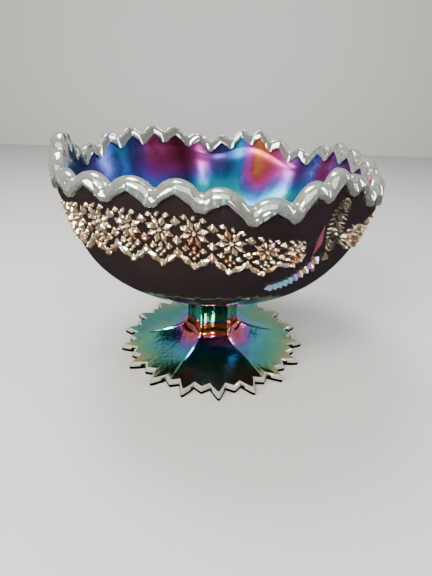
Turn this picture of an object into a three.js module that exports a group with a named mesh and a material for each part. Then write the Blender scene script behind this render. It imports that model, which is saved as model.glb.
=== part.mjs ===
// A footed bowl (compote) of pressed carnival glass, in millimetres, +Z up, standing on z = 0
// with its axis on Z. The whole piece leaves the mould as one body of glass. It is divided here
// where the moulding itself changes: a six-panelled foot with eighteen points, a six-sided stem,
// the bowl, a scalloped clear rim, and the relief on the bowl's outside, which is three swags of
// diamond facets and three oval star medallions.
// Angles are in degrees, measured from the front (-Y) towards +X.
import * as THREE from "three";

// Layout round the axis
const panelCount = 6; // faces of the stem, panels of the foot and main waves of the lip
const ridgeAngle = -25; // one of the ridges that run down the stem and out across the foot
const bowlAngle = -20.5; // middle of the front swag, near a wave crest of the lip
const motifCount = 3; // swags, with a star medallion between each two
const seamGap = 0.3; // clearance between neighbouring zones

// Foot
const footTipRadius = 66;
const footNotchRadius = 56;
const footToothRadius = 59.5; // small tooth between two large points
const pointsPerPanel = 3;
const footEdgeThickness = 3.6;
const footRise = 12; // top of the foot, where the stem stands
const footRidgeHeight = 1.6;
const footRingWidth = 9; // flat ring that rests on the table, inside the notches
const footHollowDepth = 5; // domed hollow under the foot

// Stem
const stemFootRadius = 20; // to the ridges
const stemWaistRadius = 17;
const stemTopRadius = 21;
const stemHeight = 39.4;
const fluteDepth = 0.8; // how far each face of the stem is hollowed

// Bowl
const bowlRadius = 91; // outside, at the seat of the rim
const bowlHeight = 70.5; // from the stem to the lowest part of the rim's seat
const wallThickness = 5;
const floorThickness = 7;
const bellyReach = 72; // how far out the low part of the wall runs before it turns up
const bellyRise = 7.5;
const shoulderInset = 6.5; // the wall's lean between its belly and its neck
const shoulderDrop = 37;
const neckDrop = 10.5; // below the seat the wall narrows to a neck, and the lip flares out from it
const neckInset = 3;

// Rim
const scallopsPerPanel = 5;
const archRise = 6.5; // dark pointed arch of the wall under each scallop
const insideSeatRise = 4.9; // the clear rim starts higher inside than outside
const insideArchFall = 1; // how much lower the arches stand inside than outside
const ribbonHeight = 6.8; // clear rim in the valleys between scallops
const scallopHeight = 5;
const valleyToothHeight = 1;
const rimOverhang = 2.2; // how far the rim stands out past the wall

// The lip is worked by hand while hot. Six main waves rise and lean in at a crest, and uneven
// pulls add to them.
const waveDepth = 53.5; // how far below the seat the waves fade out
const lipWaves = [
  { count: panelCount, lift: 4, leanIn: 2, crest: bowlAngle + 2 },
  { count: 1, lift: 3, leanIn: 0, crest: -109 },
  { count: 4, lift: 1.8, leanIn: 0, crest: 21 },
  { count: 9, lift: 1.9, leanIn: 0, crest: 0 },
];

// The same hand working pulls the scallops sideways, in degrees, most of all at the angle given by most.
const scallopAngle = bowlAngle - 2.7;
const lipPulls = [
  { count: 1, turn: 3.2, most: 81 },
  { count: 3, turn: 1.9, most: 4.5 },
];

// Relief on the outside of the bowl
const swagBelowSeat = 1.2;
const swagBreadth = 20;
const swagTopDrop = 16; // how far the ends of a swag hang below its middle, along its top edge
const swagFootDrop = 2; // the same along its lower edge, so a swag tapers to its ends
const facetColumns = 20;
const facetRows = 4;
const pendantColumns = 2; // each pointed pendant hangs under this many columns of facets
const pendantDrop = 6;
const reliefBase = 0.6;
const facetHeight = 2.2;
const medallionWidth = 15;
const medallionHeight = 27;
const medallionBelowSeat = 0.5;
const swagToMedallion = 6.8; // clear wall between the end of a swag and a medallion midway to the next
const medallionTurn = 3; // degrees that a medallion lies to the right of midway
const starPoints = 8;
const starHeight = 2.6;

const panelPitch = 360 / panelCount;
const pointPitch = panelPitch / pointsPerPanel;
const tipAngle = ridgeAngle + pointPitch / 2; // the ridges end between two points
const scallopPitch = panelPitch / scallopsPerPanel;
const motifPitch = 360 / motifCount;
const stemBottom = footRise + seamGap;
const stemTop = stemBottom + stemHeight;
const bowlBottom = stemTop + seamGap;
const seatHeight = bowlBottom + bowlHeight;

const radians = THREE.MathUtils.degToRad;
const degrees = THREE.MathUtils.radToDeg;
const { lerp, smoothstep, euclideanModulo } = THREE.MathUtils;

const insideArchRise = archRise - insideArchFall;
const swagHalfSpan = motifPitch / 2 - degrees((medallionWidth / 2 + swagToMedallion) / bowlRadius);

// Where an angle lies within a repeat of the given pitch: 0 at its centre, 0.5 at either edge.
function fromCentre(angle, centre, pitch) {
  return Math.abs(euclideanModulo((angle - centre) / pitch + 0.5, 1) - 0.5);
}

// Revolves a profile of [radius, z] points about Z, then lets shape(angle, index, radius, z) move each point
// to a new radius and z, and to another angle if it gives one.
function revolve(profile, segments, firstAngle, shape) {
  const points = profile.map(([radius, z]) => new THREE.Vector2(radius, z));
  const geometry = new THREE.LatheGeometry(points, segments, radians(firstAngle));
  geometry.rotateX(Math.PI / 2);
  const position = geometry.getAttribute("position");
  for (let i = 0; i < position.count; i++) {
    const index = i % points.length;
    // The last column of points closes on the first, so it takes the same angle.
    const column = Math.floor(i / points.length) % segments;
    const angle = firstAngle + (360 * column) / segments;
    const [radius, z, newAngle = angle] = shape(angle, index, ...profile[index]);
    place(position, i, newAngle, radius, z);
  }
  return geometry;
}

function place(position, i, angle, radius, z) {
  position.setXYZ(i, radius * Math.sin(radians(angle)), -radius * Math.cos(radians(angle)), z);
}

// The outline of the foot: large points, with a small tooth between each two.
function footOutline(angle) {
  const u = fromCentre(angle, tipAngle, pointPitch);
  return u < 0.25
    ? lerp(footTipRadius, footNotchRadius, u * 4)
    : lerp(footNotchRadius, footToothRadius, u * 4 - 1);
}

function makeFoot() {
  const ringInner = footNotchRadius - footRingWidth;
  const seat = stemFootRadius + 1;
  const profile = [
    [0, footHollowDepth],
    [ringInner * 0.6, footHollowDepth * 0.8],
    [ringInner, 0],
    [footNotchRadius, 0],
    [footTipRadius, 0],
    [footTipRadius, footEdgeThickness],
    [footNotchRadius - 2, lerp(footEdgeThickness, footRise, 0.14)],
    [lerp(seat, footNotchRadius, 0.55), lerp(footEdgeThickness, footRise, 0.3)],
    [lerp(seat, footNotchRadius, 0.2), lerp(footEdgeThickness, footRise, 0.58)],
    [seat, footRise],
    [0, footRise],
  ];
  const [lowerMid, lowerEdge, upperEdge, topRing, innerRing] = [3, 4, 5, 6, 8];
  const segments = panelCount * pointsPerPanel * 4;
  return revolve(profile, segments, ridgeAngle, (angle, index, radius, z) => {
    const outline = footOutline(angle);
    const onRidge = fromCentre(angle, ridgeAngle, panelPitch) < 0.5 / segments;
    if (index === lowerEdge || index === upperEdge) radius = outline;
    if (index === lowerMid) radius = lerp(radius - footRingWidth, outline, 0.5);
    if (onRidge && index >= topRing && index <= innerRing) z += footRidgeHeight;
    return [radius, z];
  });
}

// A regular polygon's outline, with each face hollowed by a flute.
function fluted(radius, angle) {
  const u = fromCentre(angle, ridgeAngle, panelPitch);
  const fromMiddle = radians((0.5 - u) * panelPitch);
  const flat = (radius * Math.cos(Math.PI / panelCount)) / Math.cos(fromMiddle);
  return flat - fluteDepth * Math.sin(Math.PI * u) ** 2;
}

function makeStem() {
  const waistLow = lerp(stemBottom, stemTop, 0.3);
  const waistHigh = lerp(stemBottom, stemTop, 0.72);
  const lower = new THREE.QuadraticBezierCurve(
    new THREE.Vector2(stemFootRadius, stemBottom),
    new THREE.Vector2(stemWaistRadius, stemBottom),
    new THREE.Vector2(stemWaistRadius, waistLow),
  );
  const upper = new THREE.QuadraticBezierCurve(
    new THREE.Vector2(stemWaistRadius, waistHigh),
    new THREE.Vector2(stemWaistRadius, stemTop),
    new THREE.Vector2(stemTopRadius, stemTop),
  );
  const side = [...lower.getPoints(4), ...upper.getPoints(4)].map((p) => [p.x, p.y]);
  const profile = [[0, stemBottom], ...side, [0, stemTop]];
  return revolve(profile, panelCount * 4, ridgeAngle, (angle, index, radius, z) => [
    radius ? fluted(radius, angle) : 0,
    z,
  ]);
}

// The outside of the bowl's wall: its belly from the stem to the neck, then the lip up to the rim's seat.
const neckRadius = bowlRadius - neckInset;
const neckHeight = seatHeight - neckDrop;
const wall = new THREE.CurvePath();
wall.add(
  new THREE.CubicBezierCurve(
    new THREE.Vector2(stemTopRadius, bowlBottom),
    new THREE.Vector2(bellyReach, bowlBottom + bellyRise),
    new THREE.Vector2(neckRadius - shoulderInset, neckHeight - shoulderDrop),
    new THREE.Vector2(neckRadius, neckHeight),
  ),
);
wall.add(
  new THREE.CubicBezierCurve(
    new THREE.Vector2(neckRadius, neckHeight),
    new THREE.Vector2(lerp(neckRadius, bowlRadius, 0.2), lerp(neckHeight, seatHeight, 0.4)),
    new THREE.Vector2(bowlRadius, lerp(neckHeight, seatHeight, 0.6)),
    new THREE.Vector2(bowlRadius, seatHeight),
  ),
);

// Shares of the wall's length at which a profile has points: some along the belly, then some along the lip.
function wallShares(bellySteps, lipSteps) {
  const neck = wall.getCurveLengths()[0] / wall.getLength();
  const shares = [];
  for (let i = 0; i < bellySteps; i++) shares.push((neck * i) / bellySteps);
  for (let i = 0; i <= lipSteps; i++) shares.push(lerp(neck, 1, i / lipSteps));
  return shares;
}

// The wall's point at a height, moved outwards by an offset. Above the seat the wall goes straight up.
function wallAt(z, offset) {
  if (z >= seatHeight) return [bowlRadius + offset, z];
  let low = 0;
  let high = 1;
  for (let i = 0; i < 30; i++) {
    const middle = (low + high) / 2;
    if (wall.getPoint(middle).y < z) low = middle;
    else high = middle;
  }
  return offsetWall(low, offset);
}

function offsetWall(t, offset) {
  const at = wall.getPoint(t);
  const along = wall.getTangent(t);
  return [at.x + along.y * offset, at.y - along.x * offset];
}

// Moves a point of the bowl with the lip's waves, which fade out below the seat.
function waved(angle, radius, z) {
  const share = smoothstep(z, seatHeight - waveDepth, seatHeight);
  let [wavedRadius, wavedZ] = [radius, z];
  for (const { count, lift, leanIn, crest } of lipWaves) {
    const wave = share * Math.cos(radians((angle - crest) * count));
    wavedRadius -= leanIn * wave;
    wavedZ += lift * wave;
  }
  return [wavedRadius, wavedZ];
}

// Where an evenly spaced angle lies once the lip has been pulled.
function pulled(angle) {
  return lipPulls.reduce((to, { count, turn, most }) => {
    return to + turn * Math.cos(radians((angle - most) * count));
  }, angle);
}

// How high the wall's pointed arches stand above the seat, outside and inside.
function archLine(angle) {
  return archRise * (1 - 2 * fromCentre(angle, scallopAngle, scallopPitch));
}

function insideLine(angle) {
  return insideSeatRise + insideArchRise * (1 - 2 * fromCentre(angle, scallopAngle, scallopPitch));
}

function makeBowl() {
  const floor = bowlBottom + floorThickness;
  const outer = wallShares(9, 4).map((share) => offsetWall(share, 0));
  const inner = wallShares(7, 2)
    .slice(1)
    .reverse()
    .map((share) => offsetWall(share, -wallThickness))
    .map(([radius, z]) => [radius, Math.max(z, floor)]);
  const profile = [[0, bowlBottom], ...outer, ...inner, [0, floor]];
  const topOuter = outer.length;
  const topInner = topOuter + 1;
  const segments = panelCount * scallopsPerPanel * 4;
  return revolve(profile, segments, scallopAngle, (angle, index, radius, z) => {
    const [wavedRadius, wavedZ] = waved(pulled(angle), radius, z);
    let arch = 0;
    if (index === topOuter) arch = archLine(angle);
    if (index === topInner) arch = insideLine(angle);
    return [wavedRadius, wavedZ + arch, pulled(angle)];
  });
}

// The top edge of the rim above the seat: round scallops, with a small tooth in each valley.
function scallopLine(angle) {
  const u = fromCentre(angle, scallopAngle, scallopPitch);
  const lobe = u < 0.375 ? Math.cos((u / 0.375) * (Math.PI / 2)) ** 0.8 : 0;
  const tooth = smoothstep(u, 0.375, 0.5);
  return ribbonHeight + scallopHeight * lobe + valleyToothHeight * tooth;
}

function makeRim() {
  const inside = bowlRadius - wallThickness;
  // Each point is a radius, and a share of the way from the seat to the top edge.
  const profile = [
    [inside, 0],
    [bowlRadius, 0],
    [bowlRadius + rimOverhang, 0.12],
    [bowlRadius + rimOverhang * 0.6, 0.55],
    [lerp(inside, bowlRadius, 0.6), 1],
    [inside + 0.8, 0.97],
    [inside, 0],
  ];
  const [firstOutside, lastOutside] = [1, 3];
  const segments = panelCount * scallopsPerPanel * 8;
  return revolve(profile, segments, scallopAngle, (angle, index, radius, share) => {
    const [wavedRadius, seat] = waved(pulled(angle), radius, seatHeight);
    const outside = index >= firstOutside && index <= lastOutside;
    const bottom = seat + (outside ? archLine(angle) : insideLine(angle)) + seamGap;
    return [wavedRadius, lerp(bottom, seat + scallopLine(angle), share), pulled(angle)];
  });
}

// Lays a flat relief on the wall: where(x, y) gives each vertex its angle and height, and z
// stands off the wall.
function ontoWall(geometry, where) {
  const position = geometry.getAttribute("position");
  for (let i = 0; i < position.count; i++) {
    const [angle, height] = where(position.getX(i), position.getY(i));
    const onWall = wallAt(height, seamGap + position.getZ(i));
    place(position, i, angle, ...waved(angle, ...onWall));
  }
  return geometry;
}

// A slab of diamond points between two arches. Its lower edge hangs down in pointed pendants.
function makeSwag(middle) {
  const slab = new THREE.BoxGeometry(2, 1, reliefBase, facetColumns * 2, facetRows * 2, 1);
  slab.translate(0, 0.5, reliefBase / 2);
  const position = slab.getAttribute("position");
  for (let i = 0; i < position.count; i++) {
    const column = Math.round(((position.getX(i) + 1) / 2) * facetColumns * 2);
    const row = Math.round(position.getY(i) * facetRows * 2);
    const apex = column % 2 === 1 && row % 2 === 1;
    if (apex && position.getZ(i) > reliefBase / 2) position.setZ(i, reliefBase + facetHeight);
  }
  return ontoWall(slab, (x, y) => {
    const crown = seatHeight - swagBelowSeat;
    const top = crown - swagTopDrop * x ** 4;
    const pendants = facetColumns / pendantColumns;
    const hang = pendantDrop * (1 - 2 * fromCentre(x, 1 - 1 / pendants, 2 / pendants));
    const foot = crown - swagBreadth - swagFootDrop * Math.abs(x) ** 2.4 - hang;
    return [middle + x * swagHalfSpan, lerp(foot, top, y)];
  });
}

// An oval boss with a star of raised rays.
function makeMedallion(middle) {
  // The back has many rings, so that it follows the curve of the lip.
  const backRings = 8;
  const profile = [];
  for (let i = 0; i <= backRings; i++) profile.push([i / backRings, 0]);
  profile.push([1, reliefBase], [0.55, reliefBase], [0, reliefBase + starHeight]);
  const edge = backRings + 1;
  const ring = edge + 1;
  const star = revolve(profile, starPoints * 2, 0, (angle, index, radius, z) => {
    const onRay = fromCentre(angle, 0, 360 / starPoints) < 0.25;
    if (index === edge && onRay) z += starHeight * 0.3;
    if (index === ring) z += onRay ? starHeight * 0.75 : 0;
    return [radius, z];
  });
  const centre = seatHeight - medallionBelowSeat - medallionHeight / 2;
  return ontoWall(star, (x, y) => {
    const height = centre + (y * medallionHeight) / 2;
    const across = degrees((x * medallionWidth) / 2 / bowlRadius);
    return [middle + across, height];
  });
}

function glass(color, roughness, metalness) {
  return new THREE.MeshStandardMaterial({ color, roughness, metalness });
}

const compote = new THREE.Group();
compote.name = "carnival_glass_bowl";

function add(name, geometry, material) {
  const mesh = new THREE.Mesh(geometry, material);
  mesh.name = name;
  compote.add(mesh);
}

const footGlass = glass(0x3f6f68, 0.2, 0.5);
const bowlGlass = glass(0x2a2030, 0.15, 0.6);
const rimGlass = glass(0xc9cdc2, 0.1, 0.1);
const goldFlash = glass(0xb99a68, 0.2, 0.8);

add("foot", makeFoot(), footGlass);
add("stem", makeStem(), footGlass);
add("bowl", makeBowl(), bowlGlass);
add("scalloped_rim", makeRim(), rimGlass);
for (let i = 0; i < motifCount; i++) {
  const middle = bowlAngle + i * motifPitch;
  add(`faceted_swag_${i + 1}`, makeSwag(middle), goldFlash);
  const between = middle + motifPitch / 2;
  add(`star_medallion_${i + 1}`, makeMedallion(between + medallionTurn), goldFlash);
}

export default compote;
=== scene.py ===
import bisect
import math

import bpy
from mathutils import Matrix, Vector


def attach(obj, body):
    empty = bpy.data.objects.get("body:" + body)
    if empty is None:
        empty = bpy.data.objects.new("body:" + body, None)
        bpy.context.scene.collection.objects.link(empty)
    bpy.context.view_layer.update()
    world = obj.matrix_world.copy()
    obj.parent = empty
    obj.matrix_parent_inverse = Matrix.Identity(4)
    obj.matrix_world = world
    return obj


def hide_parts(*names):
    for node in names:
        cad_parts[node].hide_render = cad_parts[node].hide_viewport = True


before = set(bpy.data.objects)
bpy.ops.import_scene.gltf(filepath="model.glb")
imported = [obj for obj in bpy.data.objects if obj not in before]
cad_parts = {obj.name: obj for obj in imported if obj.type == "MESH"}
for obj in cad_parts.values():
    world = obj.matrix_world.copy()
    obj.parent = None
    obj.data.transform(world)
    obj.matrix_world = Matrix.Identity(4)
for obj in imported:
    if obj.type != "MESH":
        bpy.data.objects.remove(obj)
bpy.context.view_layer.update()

# Camera: a little above the rim, looking down into the bowl.
camera_data = bpy.data.cameras.new("camera")
camera_data.lens = 25.0
camera = bpy.data.objects.new("camera", camera_data)
bpy.context.collection.objects.link(camera)
camera.matrix_world = (
    Matrix.Translation((0.0019, -0.2455, 0.1700))
    @ Matrix.Rotation(math.radians(90 - 27.4), 4, "X")
    @ Matrix.Rotation(math.radians(1.8), 4, "Z")
)
bpy.context.scene.camera = camera

# Light: a pale room, bright behind the bowl, dim in front of it and dark below the table's edge, with six
# soft lamps overhead, in front and to either side.
world = bpy.data.worlds.new("studio")
bpy.context.scene.world = world
world.use_nodes = True
sky = world.node_tree
sky_direction = sky.nodes.new("ShaderNodeTexCoord")
sky_parts = sky.nodes.new("ShaderNodeSeparateXYZ")
sky_range = sky.nodes.new("ShaderNodeMapRange")
sky_range.inputs["From Min"].default_value = -1
sky_ramp = sky.nodes.new("ShaderNodeValToRGB")
sky.links.new(sky_direction.outputs["Generated"], sky_parts.inputs[0])
sky.links.new(sky_parts.outputs["Z"], sky_range.inputs["Value"])
sky.links.new(sky_range.outputs[0], sky_ramp.inputs[0])
sky.links.new(sky_ramp.outputs[0], sky.nodes["Background"].inputs["Color"])
sky_depth = sky.nodes.new("ShaderNodeMapRange")
sky_depth.interpolation_type = "SMOOTHSTEP"
for socket, value in (("From Min", -0.6), ("From Max", 0.5), ("To Min", 0.16), ("To Max", 1.0)):
    sky_depth.inputs[socket].default_value = value
sky.links.new(sky_parts.outputs["Y"], sky_depth.inputs["Value"])
sky.links.new(sky_depth.outputs[0], sky.nodes["Background"].inputs["Strength"])
sky_stops = sky_ramp.color_ramp.elements
sky_stops[0].position, sky_stops[0].color = 0.47, (0.035, 0.03, 0.035, 1)
sky_stops[1].position, sky_stops[1].color = 0.53, (0.62, 0.60, 0.57, 1)
for position, color in ((0.72, (0.42, 0.41, 0.40, 1)), (1.0, (0.90, 0.89, 0.87, 1))):
    sky_stops.new(position).color = color


def softbox(name, place, aim, size, power, color=(1, 1, 1)):
    data = bpy.data.lights.new(name, "AREA")
    data.shape, data.size, data.size_y = "RECTANGLE", *size
    data.energy, data.color = power, color
    lamp = bpy.data.objects.new(name, data)
    lamp.location = place
    lamp.rotation_euler = (Vector(aim) - Vector(place)).to_track_quat("-Z", "Y").to_euler()
    bpy.context.collection.objects.link(lamp)


softbox("overhead", (-0.16, 0.16, 0.75), (0, 0, 0.09), (0.22, 0.30), 5)
softbox("front", (0.26, -0.95, 0.42), (0, 0, 0.08), (0.16, 0.12), 5, (1.0, 0.96, 0.90))
softbox("front_left", (-0.35, -0.60, 0.75), (0, 0, 0.08), (0.22, 0.18), 6, (1.0, 0.95, 0.88))
softbox("front_high", (0.0, -0.60, 0.90), (0, 0, 0.10), (1.0, 0.6), 6.0, (1.0, 0.94, 0.85))
softbox("window", (-0.72, -0.50, 0.40), (0, 0, 0.08), (0.22, 0.45), 7, (1.0, 0.97, 0.92))
softbox("right_fill", (0.75, 0.06, 0.35), (0, 0, 0.08), (0.10, 0.4), 3.0, (0.92, 0.96, 1.0))

bpy.ops.mesh.primitive_plane_add(size=6, location=(0, 0, -0.0002))
floor = bpy.context.object
floor.name = "floor"
floor.visible_glossy = False
bpy.ops.mesh.primitive_plane_add(size=6, location=(0, 0.9, 1.5), rotation=(math.pi / 2, 0, 0))
backdrop = bpy.context.object
backdrop.name = "backdrop"
backdrop.visible_glossy = backdrop.visible_diffuse = backdrop.visible_shadow = False
floor_paint = bpy.data.materials.new("floor_paint")
floor_paint.use_nodes = True
floor_paint.node_tree.nodes["Principled BSDF"].inputs["Base Color"].default_value = (0.6, 0.6, 0.59, 1)
floor_paint.node_tree.nodes["Principled BSDF"].inputs["Roughness"].default_value = 0.9
floor.data.materials.append(floor_paint)
backdrop.data.materials.append(floor_paint)

# Foot: the six-panelled base of the one pressed piece of glass. The plunger leaves a sharp ridge between
# each two panels and eighteen points round the edge, whose bevel stays clear. The iron spray lies on its
# top in rings of colour, from magenta by the stem to yellow-green at the edge.
RIDGE = -25
POINT = RIDGE + 10


def from_centre(angle, centre, pitch):
    """Where an angle lies within a repeat: 0 at its centre, 0.5 at either edge."""
    return abs(((angle - centre) / pitch + 0.5) % 1 - 0.5)


def mix(a, b, share):
    return a + (b - a) * share


def smooth(x, low, high):
    x = min(max((x - low) / (high - low), 0), 1)
    return x * x * (3 - 2 * x)


def turned(name, profile, segments, closed_on_axis=True):
    """A body of revolution in mm, drawn out ring by ring from a disc at the profile's first ring."""
    bpy.ops.object.select_all(action="DESELECT")
    (radius, z), rest = profile[0], profile[1:]
    fill = "TRIFAN" if closed_on_axis else "NOTHING"
    bpy.ops.mesh.primitive_circle_add(vertices=segments, radius=radius / 1000, fill_type=fill)
    piece = bpy.context.object
    piece.name = name
    bpy.ops.object.mode_set(mode="EDIT")
    bpy.ops.mesh.select_all(action="SELECT")
    bpy.ops.transform.translate(value=(0, 0, z / 1000))
    if closed_on_axis:
        bpy.ops.mesh.region_to_loop()
    for next_radius, next_z in rest:
        bpy.ops.mesh.extrude_region_move(
            TRANSFORM_OT_translate={"value": (0, 0, (next_z - z) / 1000)}
        )
        bpy.ops.transform.resize(value=(next_radius / radius, next_radius / radius, 1))
        radius, z = next_radius, next_z
    if closed_on_axis:
        bpy.ops.mesh.merge(type="CENTER")
    bpy.ops.object.mode_set(mode="OBJECT")
    return piece


def shaped(piece, rule, warp=lambda angle: angle):
    """Moves every point by rule(angle, radius, z), in degrees from the front and mm, and turns it by warp."""
    for vertex in piece.data.vertices:
        x, y, z = (1000 * c for c in vertex.co)
        angle = math.degrees(math.atan2(x, -y))
        radius, z = rule(angle, math.hypot(x, y), z)
        turn = math.radians(warp(angle))
        vertex.co = (radius * math.sin(turn) / 1000, -radius * math.cos(turn) / 1000, z / 1000)


def finished(piece, node, slot, *materials, crease=40):
    """Faces outward and shaded, at rest on the frame in place of its CAD node."""
    bpy.ops.object.select_all(action="DESELECT")
    bpy.context.view_layer.objects.active = piece
    piece.select_set(True)
    bpy.ops.object.mode_set(mode="EDIT")
    bpy.ops.mesh.select_all(action="SELECT")
    bpy.ops.mesh.normals_make_consistent(inside=False)
    bpy.ops.object.mode_set(mode="OBJECT")
    bpy.ops.object.shade_smooth_by_angle(angle=math.radians(crease))
    for material in materials:
        piece.data.materials.append(material)
    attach(piece, "root")
    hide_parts(node)


def new_glass(name, **sockets):
    """A Principled finish with its constant values set on the shader."""
    material = bpy.data.materials.new(name)
    material.use_nodes = True
    shader = material.node_tree.nodes["Principled BSDF"]
    for socket, value in sockets.items():
        shader.inputs[socket.replace("_", " ")].default_value = value
    return material


def math_node(tree, operation, *values):
    node = tree.nodes.new("ShaderNodeMath")
    node.operation = operation
    for socket, value in zip(node.inputs, values):
        if isinstance(value, (int, float)):
            socket.default_value = value
        else:
            tree.links.new(value, socket)
    return node.outputs[0]


def ramp(tree, value, *stops, smooth_steps=True):
    """Colour by value: each stop is its position, then its colour or grey."""
    node = tree.nodes.new("ShaderNodeValToRGB")
    if smooth_steps:
        node.color_ramp.interpolation = "EASE"
    elements = node.color_ramp.elements
    elements.remove(elements[1])
    for i, (position, color) in enumerate(stops):
        element = elements.new(position) if i else elements[0]
        element.position = position
        element.color = (*((color,) * 3 if isinstance(color, (int, float)) else color), 1)
    tree.links.new(value, node.inputs[0])
    return node.outputs[0]


def noise(tree, size, detail=2, seed=0):
    """Noise about 0.5 over the piece, with lumps of about this size in mm."""
    place = tree.nodes.new("ShaderNodeTexCoord").outputs["Object"]
    node = tree.nodes.new("ShaderNodeTexNoise")
    node.noise_dimensions = "4D"
    node.inputs["W"].default_value = seed
    node.inputs["Scale"].default_value = 1000 / size
    node.inputs["Detail"].default_value = detail
    tree.links.new(place, node.inputs["Vector"])
    return node.outputs["Fac"]


def where(tree):
    """The way round as 0 to 1 from the back by the left, and the radius and the height in mm."""
    place = tree.nodes.new("ShaderNodeTexCoord").outputs["Object"]
    parts = tree.nodes.new("ShaderNodeSeparateXYZ")
    tree.links.new(place, parts.inputs[0])
    x, y, z = parts.outputs
    forward = math_node(tree, "MULTIPLY", y, -1)
    turn = math_node(tree, "ARCTAN2", x, forward)
    turn = math_node(tree, "MULTIPLY_ADD", turn, 0.5 / math.pi, 0.5)
    across = math_node(tree, "POWER", x, 2)
    along = math_node(tree, "POWER", forward, 2)
    radius = math_node(tree, "SQRT", math_node(tree, "ADD", across, along))
    return turn, math_node(tree, "MULTIPLY", radius, 1000), math_node(tree, "MULTIPLY", z, 1000)


# The colours of the iron spray in the order in which its film thickens.
FILM = (
    (0.00, (0.80, 0.30, 0.06)),
    (0.12, (0.72, 0.08, 0.12)),
    (0.24, (0.62, 0.08, 0.42)),
    (0.36, (0.28, 0.10, 0.62)),
    (0.48, (0.06, 0.20, 0.66)),
    (0.58, (0.02, 0.45, 0.68)),
    (0.70, (0.02, 0.42, 0.36)),
    (0.82, (0.12, 0.48, 0.26)),
    (0.92, (0.45, 0.50, 0.20)),
    (1.00, (0.66, 0.42, 0.18)),
)


def linked(material, socket, value):
    shader = material.node_tree.nodes["Principled BSDF"]
    material.node_tree.links.new(value, shader.inputs[socket])


def bumped(material, height, depth):
    """The surface's fine relief: height 0 to 1 times depth in mm."""
    node = material.node_tree.nodes.new("ShaderNodeBump")
    node.inputs["Distance"].default_value = depth / 1000
    material.node_tree.links.new(height, node.inputs["Height"])
    linked(material, "Normal", node.outputs[0])


def hexagon(radius, angle):
    """The flat-sided outline with its corners on the ridges."""
    from_middle = math.radians((0.5 - from_centre(angle, RIDGE, 60)) * 60)
    return radius * math.cos(math.pi / 6) / math.cos(from_middle)


def foot_outline(angle, tip=66, notch=56, tooth=59.5):
    """The edge's radius: a point with its end rounded, down to a notch, then up to half a tooth."""
    u = from_centre(angle, POINT, 20)
    if u >= 0.25:
        return mix(notch, tooth, u * 4 - 1)
    rounding = 0.10
    return mix(tip, notch, math.hypot(u * 4, rounding) / math.hypot(1, rounding))


# The edge's rings, drawn at radii that stand for their outlines: each one's tip, notch and tooth.
EDGE_RINGS = {60: (61, 51.5, 54), 61: (65.2, 55.3, 58.8), 62: (66, 56, 59.5), 63: (66, 56, 59.5),
              64: (64.8, 55.3, 58.8), 65: (62.6, 54.0, 57.3)}
foot_hollow = [(12, 5), (28, 4.4), (40, 2.4), (47, 0)]
foot_rim = [(60, 0.0), (61, 0.0), (62, 0.4), (63, 2.4), (64, 3.9), (65, 4.8)]
foot_top = [(53, 4.9), (50, 5.1), (46, 5.4), (42, 5.8), (38, 6.4), (34, 7.1), (30, 8.0), (27, 9.0),
            (24.5, 10.1), (22.5, 11.2), (21, 12.2), (19, 12.9), (10, 12.9)]
foot = turned("foot", foot_hollow + foot_rim + foot_top, 720)


def foot_rule(angle, radius, z):
    if round(radius) in EDGE_RINGS:
        return foot_outline(angle, *EDGE_RINGS[round(radius)]), z
    if z < 4.6 and radius < 48:
        return radius, z
    u = from_centre(angle, RIDGE, 60)
    ridge = (1 - 2 * u) ** 2.2 + 0.28 * max(1 - u * 60 / 1.6, 0)
    fade = 1 - 0.75 * smooth(radius, 40, 54)
    squareness = 1 - smooth(radius, 22, 42)
    return mix(radius, hexagon(radius * 1.04, angle), squareness), z + 2.3 * ridge * fade


shaped(foot, foot_rule)

sprayed_foot = new_glass("sprayed_foot_glass", Metallic=1.0, Roughness=0.17, Coat_Weight=0.4,
                         Coat_Roughness=0.06)
tree = sprayed_foot.node_tree
turn, radius, height = where(tree)
wander = math_node(tree, "MULTIPLY_ADD", noise(tree, 26, 1, 3), 0.70, -0.33)
streaks = math_node(tree, "MULTIPLY_ADD", noise(tree, 5, 2, 8), 0.16, -0.08)
film = ramp(tree, math_node(tree, "DIVIDE", radius, 66), (0.30, 0.10), (0.38, 0.28), (0.47, 0.56),
            (0.62, 0.70), (0.80, 0.82), (0.95, 0.95))
film = math_node(tree, "ADD", math_node(tree, "ADD", film, wander), streaks)
# Painted reflection: the panel at the front is shifted greener, for the dark green that panel reflects.
film = math_node(tree, "ADD", film, ramp(tree, turn, (0.43, 0.0), (0.47, 0.16), (0.56, 0.16), (0.60, 0.0)))
pale = [(at, [mix(c, 0.58, 0.12) for c in color]) for at, color in FILM]
linked(sprayed_foot, "Base Color", ramp(tree, film, *pale, smooth_steps=False))
bumped(sprayed_foot, noise(tree, 2.6, 2, 5), 0.18)
clear_edge = new_glass("clear_foot_edge", Base_Color=(0.52, 0.56, 0.50, 1), Roughness=0.12,
                       Transmission_Weight=0.35, Coat_Weight=0.5)
finished(foot, "foot", "foot_glass", sprayed_foot, clear_edge, crease=25)
for face in foot.data.polygons:
    centre = 1000 * face.center
    reach = math.hypot(centre.x, centre.y)
    angle = math.degrees(math.atan2(centre.x, -centre.y))
    if reach > foot_outline(angle, *EDGE_RINGS[65]) - 0.2 and face.normal.z > 0.25:
        face.material_index = 1

# Stem: the six-sided waist of the same pressed piece, each side hollowed along its length and flared at
# both ends. The spray runs down it from blue-green to an orange glow at its base.
STEM_SIDE = [(20.6, 12.0), (20.5, 13.0), (20.0, 13.9), (19.0, 14.9), (18.1, 16.2), (17.5, 18.0), (17.1, 20.5),
             (17.0, 24.5), (17.0, 29.0), (17.0, 34.0), (17.0, 38.5), (17.05, 42.0), (17.3, 45.0),
             (17.9, 47.5), (18.9, 49.6), (20.2, 51.2), (21.6, 52.4)]
stem = turned("stem", STEM_SIDE, 180)


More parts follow.
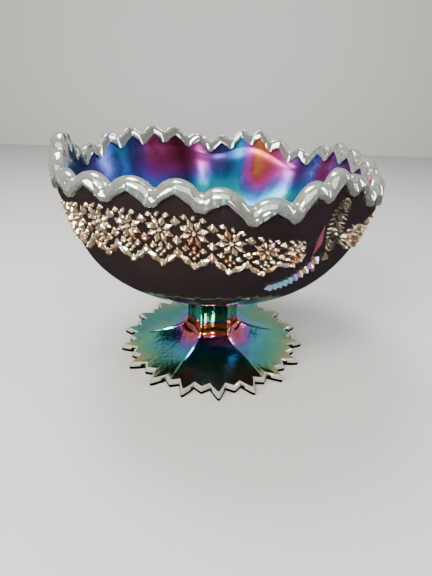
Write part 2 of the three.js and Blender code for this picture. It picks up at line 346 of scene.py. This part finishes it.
def stem_rule(angle, radius, z):
    if radius < 1:
        return radius, z
    u = from_centre(angle, RIDGE, 60)
    flute = math.sin(math.pi * u) ** 2
    corner = 0.5 * max(1 - 12 * u, 0)
    return mix(hexagon(radius, angle) - flute + corner, radius, smooth(z, 48, 52.5)), z


shaped(stem, stem_rule)
sprayed_stem = new_glass("sprayed_stem_glass", Metallic=1.0, Roughness=0.14, Coat_Weight=0.6,
                         Coat_Roughness=0.05)
tree = sprayed_stem.node_tree
turn, radius, height = where(tree)
wander = math_node(tree, "MULTIPLY_ADD", noise(tree, 20, 1, 12), 0.2, -0.1)
film = ramp(tree, math_node(tree, "DIVIDE", height, 52), (0.24, 0.22), (0.31, 0.04), (0.40, 0.02),
            (0.50, 0.80), (0.66, 0.72), (0.80, 0.56), (1.0, 0.45))
film = math_node(tree, "ADD", film, wander)
linked(sprayed_stem, "Base Color", ramp(tree, film, *FILM, smooth_steps=False))
bumped(sprayed_stem, noise(tree, 7, 1, 5), 0.12)
finished(stem, "stem", "foot_glass", sprayed_stem, crease=25)

# Bowl: near-black amethyst glass, pressed in a mould and its lip worked into waves while hot. Outside it is
# almost bare; inside the iron spray lies thick, and turns through the whole order of its colours. Its top
# edge rises in a pointed arch under each scallop, and is finely toothed inside.
BOWL = -20.5
SEAT = 122.5
SCALLOP = BOWL - 2.5
WAVES = ((6, 4, 2, BOWL + 2), (1, 3, 0, -109), (4, 1.8, 0, 21), (9, 1.9, 0, 0))


def pulled(angle):
    """Where an evenly spaced angle lies once the hot lip has been pulled sideways."""
    once, thrice = math.cos(math.radians(angle - 81)), math.cos(math.radians(3 * (angle - 4.5)))
    return angle - 0.2 + 3.2 * once + 1.9 * thrice


def waved(angle, radius, z):
    """The lip's hand-worked waves, which fade out 53.5 mm below its edge."""
    share = smooth(z, SEAT - 53.5, SEAT)
    for count, lift, lean, crest in WAVES:
        wave = share * math.cos(math.radians((angle - crest) * count))
        radius, z = radius - lean * wave, z + lift * wave
    return radius, z


def bezier(points, t):
    s = 1 - t
    weights = (s ** 3, 3 * s * s * t, 3 * s * t * t, t ** 3)
    return [sum(w * p[i] for w, p in zip(weights, points)) for i in (0, 1)]


def wall_row(t):
    """A point outside the wall and the direction out of it: to 1 up the belly, and to 2 up the lip."""
    belly = ((21, 52), (72, 59.5), (81.5, 75), (88, 112))
    lip = ((88, 112), (88.6, 116.2), (91, 118.3), (91, 122.5))
    curve, t = (belly, t) if t < 1 else (lip, t - 1)
    (r, z), (r2, z2) = bezier(curve, t), bezier(curve, t + 0.0001)
    length = math.hypot(r2 - r, z2 - z)
    return r, z, (z2 - z) / length, -(r2 - r) / length


WALL = [wall_row(i / 100) for i in range(201)]
WALL_HEIGHTS = [row[1] for row in WALL]


def on_wall(z, off):
    """Radius and height of a point this far off the wall at height z."""
    if z >= SEAT:
        return 91 + off, z
    i = max(bisect.bisect_right(WALL_HEIGHTS, z) - 1, 0)
    low, high = WALL[i], WALL[i + 1]
    share = (z - low[1]) / (high[1] - low[1])
    r, z, out, up = (mix(a, b, share) for a, b in zip(low, high))
    return r + out * off, z + up * off


bowl_outside = [WALL[i] for i in (*range(0, 100, 5), *range(100, 201, 20))]
bowl_inside = [(r - 5 * out, max(z - 5 * up, 59)) for r, z, out, up in bowl_outside[::-1]]
bowl_profile = [(12, 52)] + [(r, z) for r, z, *_ in bowl_outside] + [(r, z) for r, z in bowl_inside if r > 20]
bowl = turned("bowl", bowl_profile + [(12, 59)], 720)


def bowl_rule(angle, radius, z):
    arch = 1 - 2 * from_centre(angle, SCALLOP, 12)
    wide, high = waved(pulled(angle), radius, z)
    if z > SEAT - 0.01 and radius > 90:
        return wide, high + 6.5 * arch
    if z > SEAT - 0.01:
        tooth = abs((angle / 2) % 1 - 0.5) * 2
        return wide, high + 4.7 + 5.5 * arch + 0.8 * tooth
    return wide, high


shaped(bowl, bowl_rule, pulled)
dark_glass = new_glass("dark_glass", Roughness=0.12, Metallic=0.0, Coat_Weight=0.35, Coat_Roughness=0.05)
tree = dark_glass.node_tree
tint = math_node(tree, "MULTIPLY", noise(tree, 30, 1, 21), 0.9)
linked(dark_glass, "Base Color", ramp(tree, tint, (0.25, (0.020, 0.014, 0.013)),
                                      (0.45, (0.016, 0.012, 0.012)), (0.62, (0.020, 0.013, 0.018)),
                                      (0.75, (0.014, 0.013, 0.022))))
sprayed_inside = new_glass("sprayed_inside", Metallic=0.85, Roughness=0.27, Specular_IOR_Level=0.2)
tree = sprayed_inside.node_tree
turn, radius, height = where(tree)
# Round the wall from the back, by the left, the front and the right: how far on in the order of colours the
# film is at the lip, and how bright its colour is painted there, with painted highlights at the bright
# streaks and painted dark reflections in the dim stretches between them. Both even out towards the floor,
# where it is teal.
start = ramp(tree, turn, (0.00, 0.44), (0.025, 0.30), (0.061, 0.19), (0.10, 0.20), (0.125, 0.40),
             (0.147, 0.50), (0.172, 0.46), (0.25, 0.44), (0.39, 0.56), (0.50, 0.66), (0.61, 0.50),
             (0.75, 0.28), (0.80, 0.37), (0.831, 0.20), (0.853, 0.42), (0.88, 0.28), (0.905, 0.20),
             (0.922, 0.11), (0.938, 0.03), (0.953, 0.30), (0.965, 0.54), (1.00, 0.44))
painted_reflection_strength = ramp(tree, turn, (0.00, 0.35), (0.025, 1.0), (0.055, 0.40), (0.11, 0.30), (0.135, 0.40),
                (0.147, 1.0), (0.160, 0.40), (0.25, 0.45), (0.40, 0.7), (0.61, 0.7), (0.75, 0.6),
                (0.803, 1.0), (0.831, 0.4), (0.853, 1.0), (0.874, 0.30), (0.895, 0.7), (0.925, 1.0),
                (0.955, 1.0), (0.985, 0.25), (1.00, 0.35))
depth = ramp(tree, math_node(tree, "DIVIDE", height, 128), (0.52, 1.0), (0.68, 0.85), (0.90, 0.0))
wander = math_node(tree, "MULTIPLY_ADD", noise(tree, 45, 0, 31), 0.16, -0.08)
floor_film = math_node(tree, "MULTIPLY_ADD", noise(tree, 60, 1, 5), 0.36, 0.48)


def blend(tree, share, a, b):
    """Between numbers a and b by this share."""
    reach = math_node(tree, "SUBTRACT", b, a)
    return math_node(tree, "MULTIPLY_ADD", reach, share, a)


film = math_node(tree, "ADD", blend(tree, depth, start, floor_film), wander)
# Where the film starts warmest, it stays so for most of the way down.
halfway = math_node(tree, "MULTIPLY", depth, math_node(tree, "SUBTRACT", 1, depth))
warmest = ramp(tree, turn, (0.905, 0.0), (0.93, 1.0), (0.955, 1.0), (0.975, 0.0))
film = math_node(tree, "MULTIPLY_ADD", math_node(tree, "MULTIPLY", halfway, warmest), -0.6, film)
color = ramp(tree, film, *FILM, smooth_steps=False)
patches = ramp(tree, noise(tree, 40, 0, 44), (0.36, 0.45), (0.50, 1.0))
# Painted highlights and painted dark reflections: the painted brightness round the wall, with random patches,
# scales the film's colour.
shade = math_node(tree, "MULTIPLY", blend(tree, depth, painted_reflection_strength, 1.0), patches)
shade = math_node(tree, "MULTIPLY", shade, 0.75)
mixed = tree.nodes.new("ShaderNodeMix")
mixed.data_type, mixed.blend_type = "RGBA", "MULTIPLY"
mixed.inputs["Factor"].default_value = 0.95
tree.links.new(color, mixed.inputs[6])
tree.links.new(shade, mixed.inputs[7])
linked(sprayed_inside, "Base Color", mixed.outputs[2])
bumped(sprayed_inside, noise(tree, 12, 1, 7), 0.4)
finished(bowl, "bowl", "dark_glass", dark_glass, sprayed_inside, crease=50)
for face in bowl.data.polygons:
    centre = 1000 * face.center
    outward = Vector((centre.x, centre.y, 0)).dot(face.normal)
    if centre.z > 57 and (outward < 0 or face.normal.z > 0.7):
        face.material_index = 1

# Rim: the clear edge of the bowl, where the dark glass and the spray stop. A thick rounded ribbon that stands
# out past the wall and rises in a dome over each arch, with two small beads on its lower edge in each valley.
# Its section, from the inside foot out and over: radius, share of the height, and 1 where it is the outside.
RIBBON = [(84.2, 0.0, 1), (88, 0.0, 1), (91, 0.0, 1), (92.5, 0.02, 1), (93.0, 0.10, 1), (93.1, 0.22, 1),
          (92.9, 0.38, 1), (92.4, 0.55, 1), (91.7, 0.72, 1), (90.7, 0.87, 1), (89.4, 0.97, 1),
          (88.0, 1.0, 1), (86.9, 0.97, 0), (86.1, 0.88, 0), (85.8, 0.7, 0), (85.8, 0.4, 0), (85.9, 0.0, 0)]
rim = turned("scalloped_rim", [(r, 10.0 * i) for i, (r, *_) in enumerate(RIBBON)], 720, closed_on_axis=False)


def rim_rule(angle, radius, z):
    _, share, outside = RIBBON[round(z / 10)]
    u = from_centre(angle, SCALLOP, 12)
    bead = math.sin(math.pi * min(max((0.5 - u) / 0.20, 0), 1)) ** 2
    wide, seat = waved(pulled(angle), radius, SEAT)
    arch = (6.5 if outside else 5.5) * (1 - 2 * u)
    start = seat + arch + (0.1 - 1.0 * bead if outside else 5.0)
    lobe = math.cos(u / 0.43 * math.pi / 2) ** 0.5 if u < 0.43 else 0
    top = seat + 6.6 + 5 * lobe + smooth(u, 0.38, 0.5)
    return wide, mix(start, top, share)


shaped(rim, rim_rule, pulled)
bpy.ops.object.mode_set(mode="EDIT")
bpy.ops.mesh.select_all(action="DESELECT")
bpy.ops.mesh.select_mode(type="EDGE")
bpy.ops.mesh.select_non_manifold()
bpy.ops.mesh.bridge_edge_loops()
bpy.ops.object.mode_set(mode="OBJECT")
clear_glass = new_glass("clear_rim_glass", Base_Color=(0.84, 0.88, 0.79, 1), Roughness=0.07, Metallic=0.25,
                        Transmission_Weight=0.80, Coat_Weight=0.8, Coat_Roughness=0.03)
bumped(clear_glass, noise(clear_glass.node_tree, 7, 1, 2), 0.5)
finished(rim, "scalloped_rim", "clear_rim", clear_glass, crease=50)

# Swags: three bands of cut-like facets pressed into the outside of the bowl, each ten repeats of one tile. A
# tile is an eight-rayed star between small pyramids, over a faceted chevron with a cluster of beads in it.
# The spray turned the facets gold and left the glass between them bare.
TILE = 15.67
BAND_DEPTH = 20
SWAG_HALF_SPAN = 51


def facet(vertices, length, width, height, place, turn=0, top=0.0):
    """A pyramid or lozenge in mm, its long way at this turn from X, standing on the tile's ground."""
    bpy.ops.mesh.primitive_cone_add(vertices=vertices, radius1=0.5, radius2=0.5 * top, depth=1)
    piece = bpy.context.object
    piece.scale = (length / 1000, width / 1000, (height + 0.3) / 1000)
    piece.rotation_euler = (0, 0, math.radians(turn))
    piece.location = (place[0] / 1000, place[1] / 1000, (height - 0.3) / 2000 + 0.0003)
    return piece


def bead(size, place, height):
    bpy.ops.mesh.primitive_ico_sphere_add(subdivisions=2, radius=size / 1000)
    piece = bpy.context.object
    piece.scale = (1, 1, height / size)
    piece.location = (place[0] / 1000, place[1] / 1000, 0.0003)
    return piece


def joined(pieces, name):
    bpy.ops.object.select_all(action="DESELECT")
    for piece in pieces:
        piece.select_set(True)
    bpy.context.view_layer.objects.active = pieces[0]
    bpy.ops.object.transform_apply(location=True, rotation=True, scale=True)
    if len(pieces) > 1:
        bpy.ops.object.join()
    piece = bpy.context.object
    piece.name = name
    return piece


def copied(piece, place):
    copy = piece.copy()
    copy.data = piece.data.copy()
    copy.location = place
    bpy.context.collection.objects.link(copy)
    return copy


def softened(piece, width):
    """Rounds every edge of the piece as pressing leaves it."""
    bpy.ops.object.mode_set(mode="EDIT")
    bpy.ops.mesh.select_all(action="SELECT")
    bpy.ops.mesh.bevel(offset=width / 1000, segments=2, clamp_overlap=True)
    bpy.ops.object.mode_set(mode="OBJECT")
    return piece


# The star and the pyramids round it, then the beads and the chevron below.
tile_parts = [facet(8, 2.4, 2.4, 1.6, (0, -8.8), 22.5, 0.3)]
for i in range(8):
    turn = 22.5 + 45 * i
    spot = (4.2 * math.cos(math.radians(turn)), -8.8 + 4.2 * math.sin(math.radians(turn)))
    tile_parts.append(facet(4, 5.9, 3.2, 1.6, spot, turn))
for y in (-4.3, -13.3):
    tile_parts.append(facet(4, 5.0, 5.0, 1.8, (-TILE / 2, y)))
for side in (-1, 1):
    tile_parts.append(facet(4, 3.4, 2.8, 1.3, (side * TILE / 4, -1.6)))
    tile_parts.append(facet(4, 3.8, 3.8, 1.6, (side * TILE / 4, -16.4)))
for x, y in ((0, -1.2), (0, -15.4), (-1.7, -18.4), (1.7, -18.4), (0, -20.2), (0, -17.2)):
    tile_parts.append(bead(0.85, (x, y), 1.5))
tile_parts.append(facet(4, 5.0, 5.8, 1.9, (-TILE / 2, -19.2)))
lean = math.degrees(math.atan2(6, TILE / 2))
for side in (-1, 1):
    tile_parts.append(facet(4, 10.4, 4.0, 1.7, (side * TILE / 4, -22.4), side * lean))
tile_parts.append(facet(4, 4.4, 4.6, 2.0, (0, -25.0)))
tile = softened(joined(tile_parts, "tile"), 0.10)


def bent(piece, middle):
    """Lays the flat tiles on the wall between the swag's arched edges."""
    crown = SEAT - 1.2
    for vertex in piece.data.vertices:
        x, y, off = (1000 * c for c in vertex.co)
        x /= 5 * TILE
        top = crown - 16 * x ** 4
        low = crown - BAND_DEPTH - 2 * abs(x) ** 2.4
        angle = middle + SWAG_HALF_SPAN * x
        radius, z = waved(angle, *on_wall(top + y / BAND_DEPTH * (top - low), off))
        turn = math.radians(angle)
        vertex.co = (radius * math.sin(turn) / 1000, -radius * math.cos(turn) / 1000, z / 1000)


gold_flash = new_glass("gold_flashed_glass", Roughness=0.13, Metallic=0.85, Coat_Weight=0.5,
                       Coat_Roughness=0.05)
tree = gold_flash.node_tree
tint = noise(tree, 9, 2, 51)
linked(gold_flash, "Base Color", ramp(tree, tint, (0.28, (0.55, 0.24, 0.22)), (0.38, (0.85, 0.48, 0.24)),
                                      (0.48, (1.0, 0.88, 0.66)), (0.64, (0.98, 0.70, 0.44)),
                                      (0.74, (0.60, 0.36, 0.55))))
for i in range(3):
    tiles = [copied(tile, ((k - 4.5) * TILE / 1000, 0, 0)) for k in range(10)]
    swag = joined(tiles, f"faceted_swag_{i + 1}")
    bent(swag, BOWL + 120 * i)
    finished(swag, f"faceted_swag_{i + 1}", "gold_flashed_glass", gold_flash, crease=32)
bpy.data.objects.remove(tile)

# Medallions: three oval bosses between the swags, each a star of eight rays in a border of file marks, cut
# into the mould and pressed with the wall. Beside each stand a slender leaf, a wedge, and a toothed rib that
# runs under the swag's end. The spray left the star dull, the leaf ruby and the rib lilac.
STAR_HALF_WIDTH, STAR_HALF_HEIGHT = 7.0, 13.0


def bar(length, width, height, place, turn):
    """A ridge with sloping sides and ends, its length at this turn from X, in mm."""
    half, taper = math.sqrt(0.5), 0.6
    bpy.ops.mesh.primitive_cone_add(vertices=4, radius1=half, radius2=half * taper, depth=1,
                                    rotation=(0, 0, math.pi / 4))
    bpy.ops.object.transform_apply(rotation=True)
    piece = bpy.context.object
    piece.scale = (length / 1000, width / 1000, (height + 0.3) / 1000)
    piece.rotation_euler = (0, 0, math.radians(turn))
    piece.location = (place[0] / 1000, place[1] / 1000, (height - 0.3) / 2000 + 0.0003)
    return piece


star_parts = []
for i in range(8):
    turn = 22.5 + 45 * i
    spot = (2.1 * math.cos(math.radians(turn)), 4.2 * math.sin(math.radians(turn)))
    star_parts.append(facet(4, 4.6, 1.9, 2.6, spot, turn))
star_parts.append(facet(8, 1.9, 3.0, 2.8, (0, 0), 22.5, 0.3))
for ring, count in ((0.66, 24), (0.80, 30), (0.95, 36)):
    for i in range(count):
        turn = 360 * (i + 0.5) / count
        spot = (STAR_HALF_WIDTH * ring * math.cos(math.radians(turn)),
                STAR_HALF_HEIGHT * ring * math.sin(math.radians(turn)))
        star_parts.append(facet(4, 1.5, 1.2, 1.0, spot, turn))
star = softened(joined(star_parts, "star"), 0.08)
leaves = joined([facet(4, 15, 3.2, 1.7, (-11.5, -5.5), 78)], "leaves")
wedges = joined([facet(3, 6.5, 5.5, 2.0, (-1.0, -15.5), 20), bar(11, 1.2, 1.2, (-10.5, -17.5), -62)],
                "wedges")
ribs = []
for i in range(10):
    spot = (-36.5 + 3.0 * i, -24.0 + 0.10 * i * i)
    ribs.append(facet(4, 6.0, 4.2, 2.3, spot, 25))
ribs = joined(ribs, "ribs")


def onto_lip(piece, middle):
    """Lays a flat medallion on the wall, its centre 14 mm below the rim's seat."""
    for vertex in piece.data.vertices:
        x, y, off = (1000 * c for c in vertex.co)
        angle = middle + math.degrees(x / 91)
        radius, z = waved(angle, *on_wall(SEAT - 14 + y, off))
        turn = math.radians(angle)
        vertex.co = (radius * math.sin(turn) / 1000, -radius * math.cos(turn) / 1000, z / 1000)


dull_flash = new_glass("dull_flashed_glass", Base_Color=(0.32, 0.27, 0.22, 1), Roughness=0.2, Metallic=0.8)
ruby_flash = new_glass("ruby_flashed_glass", Base_Color=(0.88, 0.24, 0.36, 1), Roughness=0.2, Metallic=0.8)
lilac_flash = new_glass("lilac_flashed_glass", Roughness=0.22, Metallic=0.7)
tree = lilac_flash.node_tree
linked(lilac_flash, "Base Color", ramp(tree, noise(tree, 8, 1, 61), (0.35, (0.30, 0.75, 0.90)),
                                       (0.46, (0.45, 0.50, 0.95)), (0.55, (0.80, 0.45, 0.85)),
                                       (0.66, (0.90, 0.65, 0.50))))
for i in range(3):
    parts = []
    for shape, finish in ((star, dull_flash), (leaves, ruby_flash), (wedges, gold_flash),
                          (ribs, lilac_flash)):
        part = copied(shape, (0, 0, 0))
        part.data.materials.append(finish)
        parts.append(part)
    medallion = joined(parts, f"star_medallion_{i + 1}")
    onto_lip(medallion, BOWL + 63 + 120 * i)
    finished(medallion, f"star_medallion_{i + 1}", "gold_flashed_glass", crease=25)
for shape in (star, leaves, wedges, ribs):
    bpy.data.objects.remove(shape)
